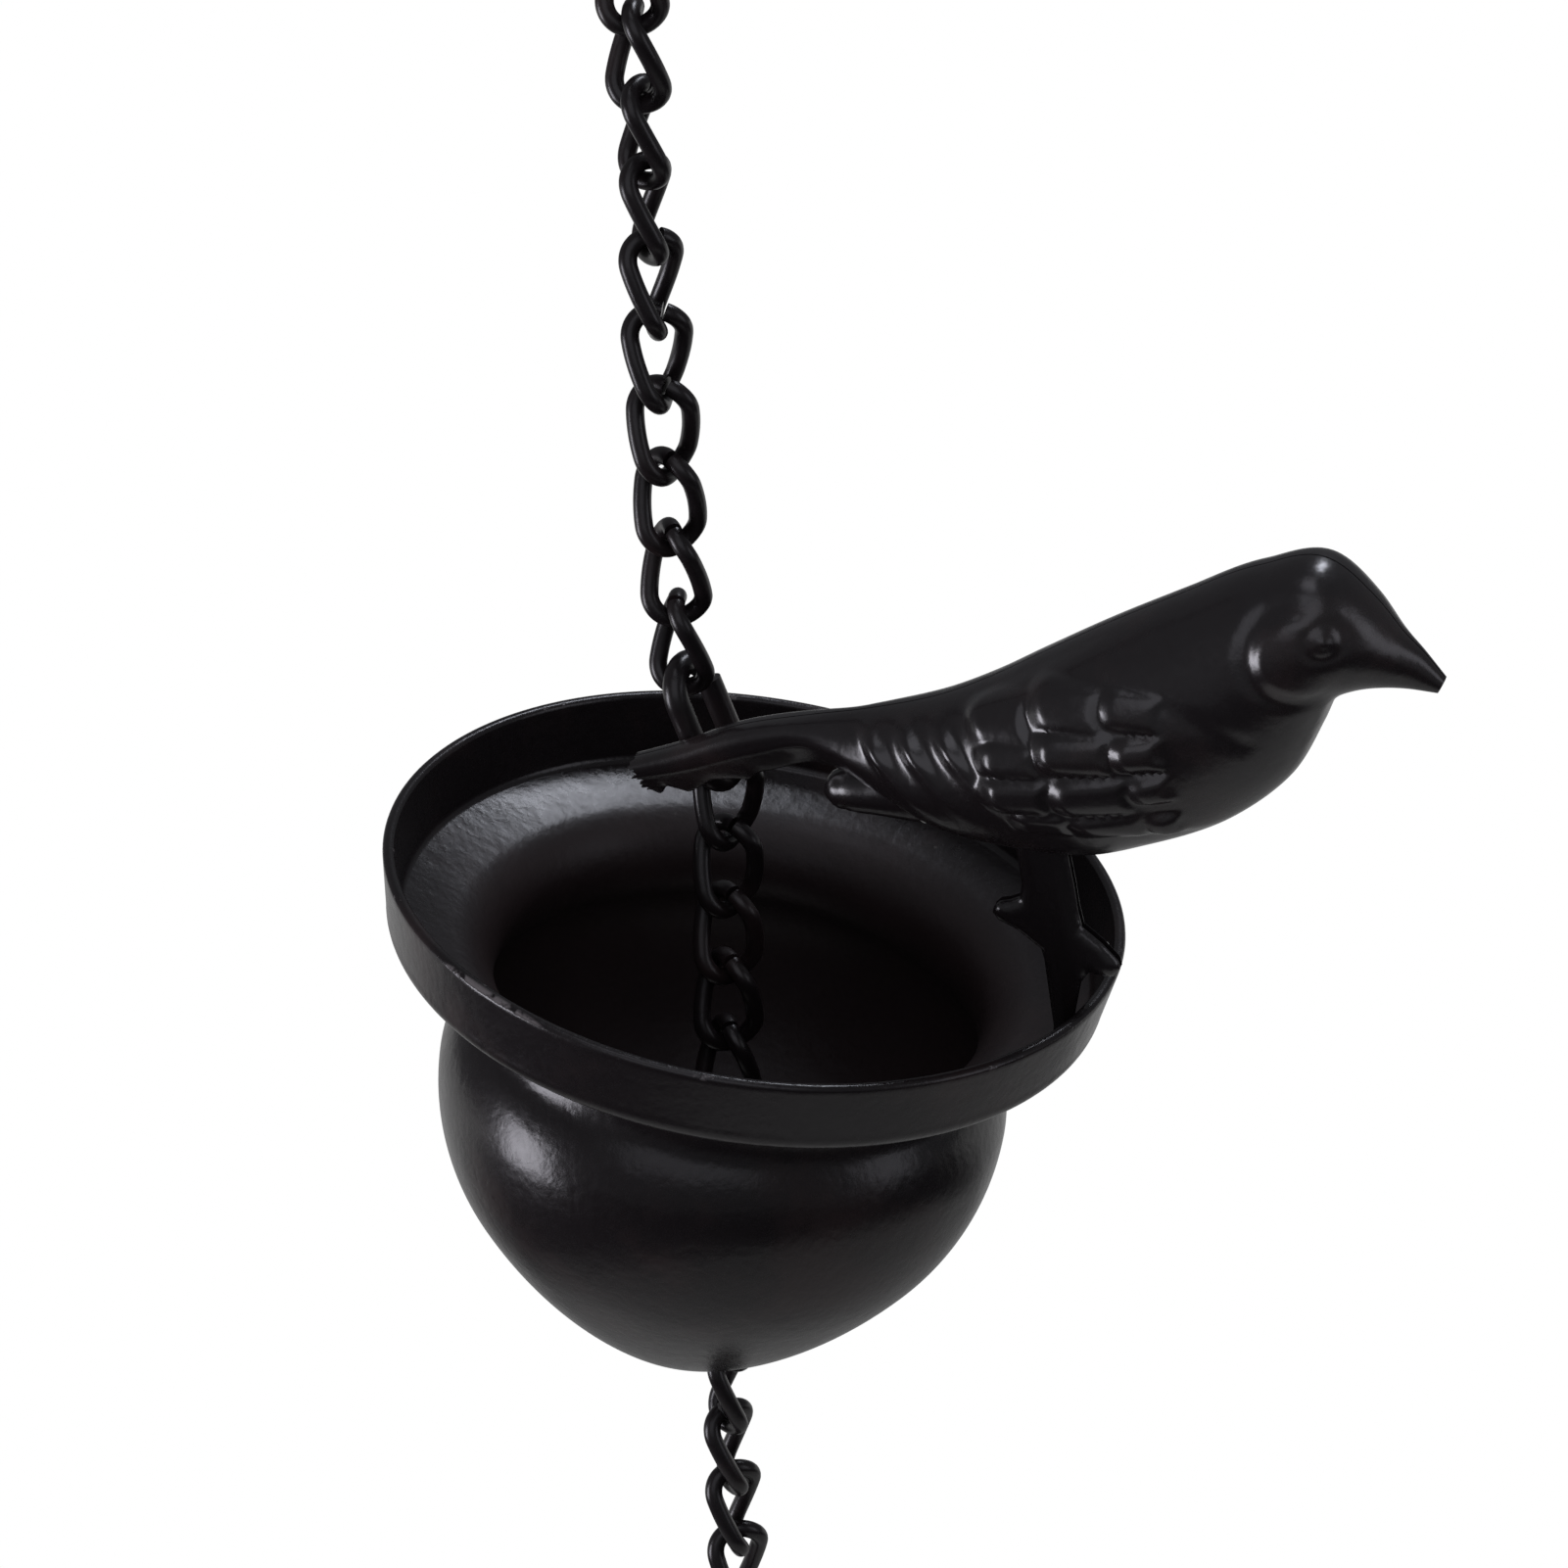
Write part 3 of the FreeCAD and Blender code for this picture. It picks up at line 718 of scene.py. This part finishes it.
def oval_points(x, z, slope, tall, share, turn, tail):
    """Points of the ovals. tail is 1 for a skin that ends in the creased tail, else 0."""
    crease = 1 + 0.32 * tail * (1 - blend(x, -40.0, -26.0))
    up = tall * np.sign(np.cos(turn)) * np.abs(np.cos(turn)) ** crease
    teeth = np.interp(x, TAIL_EDGE[:, 0], TAIL_EDGE[:, 1])
    up = up - tail * teeth * blend(turn, 0.62 * math.pi, math.pi)
    high = 1 - 0.42 * tail * (1 - blend(x, -40.0, -28.0))
    bulge = np.sin(math.pi * (turn / math.pi) ** high) ** crease
    out = np.maximum(share, 0.02) * BIRD_HALF_WIDTH * bulge
    return np.stack([x - np.sin(slope) * up, -SEAM / 2 - out, z + np.cos(slope) * up], axis=-1)


def outward(points):
    """Unit normals of a grid of points, on the side away from the bird's middle."""
    normal = np.cross(np.gradient(points, axis=1), np.gradient(points, axis=0))
    normal = normal / np.maximum(np.linalg.norm(normal, axis=-1, keepdims=True), 1e-9)
    return -normal if normal[..., 1].mean() > 0 else normal


def skin_points(table, rows, columns, fade=None):
    """Points of one half's skin. fade, where given, is how the relief begins off the seam."""
    x, z, slope, tall, share = [column[:, None] for column in smooth_rows(table, rows).T]
    turn = np.linspace(0, math.pi, columns)[None, :]
    points = oval_points(x, z, np.radians(slope), tall, share, turn, 1.0 if fade else 0.0)
    if fade:
        height = bird_relief(points[..., 0], points[..., 2]) * blend(np.sin(turn), *fade)
        points = points + outward(points) * height[..., None]
        jag = 0.35 + 0.35 * np.sin(turn * 7.0 + 0.8) + 0.25 * np.sin(turn * 17.0)
        jag = jag * (1 - blend(x, -57.5, -54.0))
        points[..., 0] += jag * math.cos(TAIL_LEAN)
        points[..., 2] += jag * math.sin(TAIL_LEAN)
    return points


def sheet_mesh(points):
    """Vertices and faces of a grid of points."""
    rows, columns = points.shape[:2]
    index = np.arange(rows * columns).reshape(rows, columns)
    faces = np.stack([index[:-1, :-1], index[1:, :-1], index[1:, 1:], index[:-1, 1:]], axis=-1)
    return points.reshape(-1, 3), faces.reshape(-1, 4)


print("bird, across both halves:", 2 * BIRD_HALF_WIDTH + SEAM)

# %% [markdown]
# The leg is cut from the same sheet and embossed: it is thickest along its
# middle and thin at its edge. A bevel would round only a narrow rim, so the
# outline is filled with small triangles, and each point is lifted by its
# distance from the outline.

# %% The leg
LEG = [
    ((-10.6, 21.5), (-10.6, 17.5), (-9.0, 12.6), (-9.0, 10.9)),
    ((-10.1, 10.1), (-11.2, 9.6), (-11.8, 8.7), (-11.8, 7.8), (-11.0, 7.0), (-8.6, 6.4)),
    ((-5.3, 4.7), (-4.7, 3.4), (-2.1, -5.2), (-1.69, -8.7), (-1.3, -8.7)),
    ((0, -7.8), (0, 1.4), (0.9, 3.3)),
    ((3.0, 3.3), (4.0, 3.8), (4.4, 4.9), (4.0, 5.9), (1.7, 7.6)),
    ((-1.0, 9.1), (-1.85, 11.1), (-3.0, 14.6), (-4.4, 18.4), (-4.6, 21.5)),
]
LEG_SLOT = 1.0
LEG_SPACING = 0.45
LEG_LIFT = 0.85
LEG_ROUND = 1.9
LEG_EDGE_THIN = 0.25


def nearest(points, edge):
    """Distance of each point from the outline."""
    return np.hypot(*(points[:, None, :] - edge[None]).transpose(2, 0, 1)).min(1)


def leg_outline():
    """The outline with points at an even spacing."""
    corners = np.array([corner for stretch in LEG for corner in stretch])
    edge = []
    for start, end in zip(corners, np.roll(corners, -1, axis=0)):
        count = max(1, int(np.hypot(*(end - start)) / LEG_SPACING))
        edge += [start + (end - start) * n / count for n in range(count)]
    return np.array(edge)


def leg_mesh():
    """A closed plate with an embossed near side."""
    edge = leg_outline()
    spans = [np.arange(low, high, LEG_SPACING) for low, high in zip(edge.min(0), edge.max(0))]
    grid = np.stack(np.meshgrid(*spans), -1).reshape(-1, 2)
    grid = grid[nearest(grid, edge) > LEG_SPACING * 0.6]
    loop = list(range(len(edge)))
    ring = list(zip(loop, loop[1:] + loop[:1]))
    filled = delaunay_2d_cdt([Vector(p) for p in np.concatenate([edge, grid])], ring, [loop], 1, 1e-5)
    flat = np.array([tuple(v) for v in filled[0]])
    inward = np.clip(nearest(flat, edge) / LEG_ROUND, 0, 1)
    lift = LEG_LIFT * np.sqrt(np.clip(1 - (1 - inward) ** 2, 0, 1)) * blend(flat[:, 1], -9.0, 2.0)
    near = np.c_[flat[:, 0], -LEG_SLOT / 2 - SHEET + LEG_EDGE_THIN - lift, flat[:, 1]]
    far = np.c_[flat[:, 0], np.full(len(flat), -LEG_SLOT / 2), flat[:, 1]]
    faces = [list(face) for face in filled[2]]
    back = [[n + len(flat) for n in face[::-1]] for face in faces]
    sides = {}
    for corners in faces:
        for pair in zip(corners, corners[1:] + corners[:1]):
            sides[pair] = True
    rim = [[b, a, a + len(flat), b + len(flat)] for a, b in sides if (b, a) not in sides]
    return np.concatenate([near, far]), faces + back + rim


print("points on the leg's outline:", len(leg_outline()))

# %% [markdown]
# The two halves are mirror images, pressed with one pair of dies. One half is
# drawn on the bird's right side, and the other is the same points with their
# side turned round and their faces reversed, so that these still look outward.
# A Solidify modifier gives the skin its sheet thickness, and the leg joins it
# in the same mesh.

# %% The two halves
SKIN_GRID = (290, 96)
TIP_GRID = (40, 40)
RELIEF_FADE = {-1: (0.2, 0.6), 1: (0.55, 0.95)}


def pressed_sheet(name, parts):
    """One mesh of several grids of points, as thick as the sheet."""
    points, faces = [], []
    for part in parts:
        more, patches = sheet_mesh(part)
        faces += (patches + sum(len(p) for p in points)).tolist()
        points.append(more)
    mesh = bpy.data.meshes.new(name)
    mesh.from_pydata(np.concatenate(points).tolist(), [], faces)
    piece = bpy.data.objects.new(name + "_press", mesh)
    bpy.context.scene.collection.objects.link(piece)
    wall = piece.modifiers.new("sheet", "SOLIDIFY")
    wall.thickness = SHEET
    wall.offset = 1.0
    ready = piece.evaluated_get(bpy.context.evaluated_depsgraph_get())
    solid = bpy.data.meshes.new_from_object(ready)
    bpy.data.objects.remove(piece)
    return solid


def bird_half(name, side):
    """One half: the pressed sheet, the folded wing tip and the leg, as one mesh."""
    skin = skin_points(STATIONS, *SKIN_GRID, RELIEF_FADE[side])
    tip = skin_points(FOLDED_TIP, *TIP_GRID)
    sheet = pressed_sheet(name, (skin, tip))
    leg_points, leg_faces = leg_mesh()
    start = len(sheet.vertices)
    points = np.array([tuple(v.co) for v in sheet.vertices] + leg_points.tolist())
    faces = [list(p.vertices) for p in sheet.polygons]
    faces += [[n + start for n in corners] for corners in leg_faces]
    if side > 0:
        points[:, 1] *= -1
        faces = [corners[::-1] for corners in faces]
    half = bpy.data.meshes.new(name)
    half.from_pydata(points.tolist(), [], faces)
    half.materials.append(BIRD_PAINT)
    half.shade_smooth()
    half.set_sharp_from_angle(angle=math.radians(48))
    return half


for name, side in (("bird_right_half", -1), ("bird_left_half", 1)):
    half = put(name + "_sheet", bird_half(name, side), BIRD_PLACE, "cup_unit", name)
    print(name, len(half.data.polygons), "faces")

# %% [markdown]
# The object was photographed against white. A bright world would be the
# simplest backdrop, but it would also light the black paint from all sides and
# wash it out. Light Path tells which ray is asking: the camera sees white, and
# so does a ray through glass, while gloss meets only a small share of it and
# the light on the object stays dim.

# %% The backdrop
AMBIENT = 0.10
GLOSS_SHARE = 0.02


def asking(tree):
    """Masks of the rays from the camera, from gloss and through glass."""
    kinds = ("Is Camera Ray", "Is Glossy Ray", "Is Transmission Ray")
    return [tree.node("ShaderNodeLightPath", output=kind) for kind in kinds]


world = bpy.data.worlds.new("studio")
bpy.context.scene.world = world
sky = empty_tree(world)
seen, mirrored, through_glass = asking(sky)
dim = sky.node("ShaderNodeBackground", {}, {"Color": (0.9, 0.93, 1.0, 1.0), "Strength": AMBIENT})
white = sky.node("ShaderNodeBackground", {}, {"Color": (1.0, 1.0, 1.0, 1.0), "Strength": 1.0})
share = seen.largest(through_glass).largest(mirrored * GLOSS_SHARE)
backdrop = sky.node("ShaderNodeMixShader", {}, {0: share, 1: dim, 2: white})
sky.node("ShaderNodeOutputWorld", {}, {"Surface": backdrop})
print("light of the world:", AMBIENT)

# %% [markdown]
# A white table is the floor of the scene and lies far under the object. To the
# camera it is as white as the backdrop. To gloss it is dark and glows with a
# painted light near a spot to the right of the cup and more strongly behind it,
# which the paint shows as a soft light from below. A lamp could give that light,
# but the downward faces mirror the table, and the glow fades out across it.

# %% The table
TABLE_Z = -0.42
TABLE_REACH = 2.0
GLEAM_MIDDLE = (0.10, 0.0, 0.0)
GLEAM_NEAR = 0.27
GLEAM_BEHIND = 0.5
AWAY_FROM_CAMERA = (-0.309, 0.951, 0.0)

corners = [(-TABLE_REACH, -TABLE_REACH), (TABLE_REACH, -TABLE_REACH)]
corners += [(TABLE_REACH, TABLE_REACH), (-TABLE_REACH, TABLE_REACH)]
floor_mesh = bpy.data.meshes.new("table")
floor_mesh.from_pydata([(x, y, TABLE_Z) for x, y in corners], [], [(0, 1, 2, 3)])
floor = bpy.data.objects.new("table", floor_mesh)
bpy.context.scene.collection.objects.link(floor)
table_white = bpy.data.materials.new("table_white")
top_coat = empty_tree(table_white)
seen, mirrored, through_glass = asking(top_coat)
where = top_coat.node("ShaderNodeTexCoord", output="Object")
# Painted light: a glow near a spot right of the cup, and a brighter one behind it.
near = 1 - (top_coat.measure("DISTANCE", where, GLEAM_MIDDLE) - abs(TABLE_Z)).step(0.05, 0.16)
behind = top_coat.measure("DOT_PRODUCT", where, AWAY_FROM_CAMERA).step(0.05, 0.40)
lit = seen.largest(through_glass).largest(near * GLEAM_NEAR).largest(behind * GLEAM_BEHIND)
shade = top_coat.mix(lit, (0.02, 0.02, 0.022, 1.0), (1.0, 1.0, 1.0, 1.0))
glow = top_coat.node("ShaderNodeEmission", {}, {"Color": shade, "Strength": 1.0})
matt = top_coat.node("ShaderNodeBsdfDiffuse", {}, {"Color": (0.85, 0.85, 0.86, 1.0)})
direct = seen.largest(mirrored).largest(through_glass)
surface = top_coat.node("ShaderNodeMixShader", {}, {0: direct, 1: matt, 2: glow})
top_coat.node("ShaderNodeOutputMaterial", {}, {"Surface": surface})
floor_mesh.materials.append(table_white)
print("table:", TABLE_Z, "metres")

# %% [markdown]
# Black gloss is drawn by what it mirrors, so each lamp is here for one
# highlight. A strip on the left makes the bright patch on the bowl and the
# feathers' rear ends, a lamp high behind lights the shelf inside the cup, a
# wide panel in front and above gives the collar its even sheen, a panel on the
# right edges the bowl, and one overhead lies on the bird's back. All are a
# little blue, as daylight is.

# %% Lamps
AIM = Vector((0.012, -0.002, -0.115))
LAMPS = [
    ("left_strip", -152, -5, 0.75, 0.26, 0.36, 2.3, (0.93, 0.91, 1.0)),
    ("back_high", 70, 52, 0.85, 0.15, 0.28, 1.55, (0.87, 0.90, 1.0)),
    ("front_sky", -80, 41, 1.0, 0.95, 0.80, 1.25, (0.91, 0.90, 1.0)),
    ("right_panel", -4, 12, 0.8, 0.30, 0.50, 0.40, (0.91, 0.90, 1.0)),
    ("top_panel", -80, 84, 1.0, 0.45, 0.40, 0.5, (0.91, 0.90, 1.0)),
]


def soft_lamp(name, azimuth, elevation, distance, width, height, watts, colour):
    """A rectangular lamp that faces the object from that direction."""
    a, e = math.radians(azimuth), math.radians(elevation)
    way = Vector((math.cos(e) * math.cos(a), math.cos(e) * math.sin(a), math.sin(e)))
    data = bpy.data.lights.new(name, "AREA")
    data.shape = "RECTANGLE"
    data.size, data.size_y = width, height
    data.energy = watts
    data.color = colour
    lamp = bpy.data.objects.new(name, data)
    lamp.location = AIM + way * distance
    lamp.rotation_euler = way.to_track_quat("Z", "Y").to_euler()
    bpy.context.scene.collection.objects.link(lamp)
    return lamp


for row in LAMPS:
    lamp = soft_lamp(*row)
    print(lamp.name, lamp.data.energy, "watts")

# %% [markdown]
# The camera stands where the photographer stood: in front of the bird's right
# side, a little ahead of it, looking down at the cup. It could be aimed with a
# constraint, but its three directions were worked out from the outline in the
# photograph, so they are written down as they are.

# %% Camera
RIGHT = Vector((0.9583, 0.2797, -0.0590))
UP = Vector((-0.0771, 0.4513, 0.8890))
BACK = RIGHT.cross(UP).normalized()
TARGET = Vector((0.012548727, -0.002119041, -0.104710730))
DISTANCE = 0.69224
SENSOR = 36.0
FOCAL_PIXELS, PICTURE_PIXELS = 5908.9, 1601.0

lens = bpy.data.cameras.new("camera")
lens.sensor_fit = "HORIZONTAL"
lens.sensor_width = SENSOR
lens.lens = SENSOR * FOCAL_PIXELS / PICTURE_PIXELS
lens.clip_start = 0.01
camera = bpy.data.objects.new("camera", lens)
stand = Matrix((RIGHT, UP, BACK)).transposed().to_4x4()
camera.matrix_world = Matrix.Translation(TARGET + BACK * DISTANCE) @ stand
bpy.context.scene.collection.objects.link(camera)
bpy.context.scene.camera = camera
bpy.context.scene.view_settings.view_transform = "Standard"
print("lens:", round(lens.lens, 1), "mm")

# %% [markdown]
